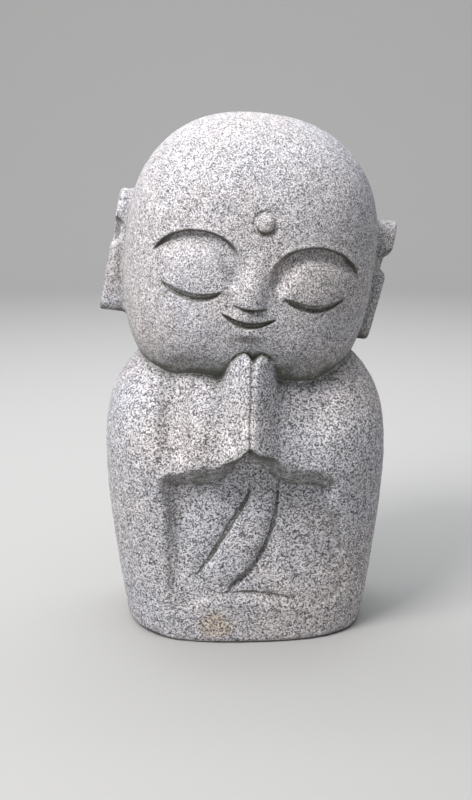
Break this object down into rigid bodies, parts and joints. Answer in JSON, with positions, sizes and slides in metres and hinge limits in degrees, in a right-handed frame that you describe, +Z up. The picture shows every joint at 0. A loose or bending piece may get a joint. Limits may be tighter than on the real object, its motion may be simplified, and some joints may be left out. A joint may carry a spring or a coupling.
{
  "type": "stone jizo statue",
  "caption": "Standing child-monk garden figure carved from one granite block, bald with long ears, hands together at the chin, plain sleeved robe, flat underside.",
  "frame": {"origin": "on the ground plane under the middle of the overall box", "axes": "+Z up, the figure looks along -Y, +X to a viewer's right when facing it"},
  "size_m": [0.1928, 0.1642, 0.3329],
  "materials": {
    "granite": "fine bush-hammered light grey granite with white and dark grains"
  },
  "bodies": {
    "root": {"jizo_statue": "granite"}
  },
  "joints": []
}
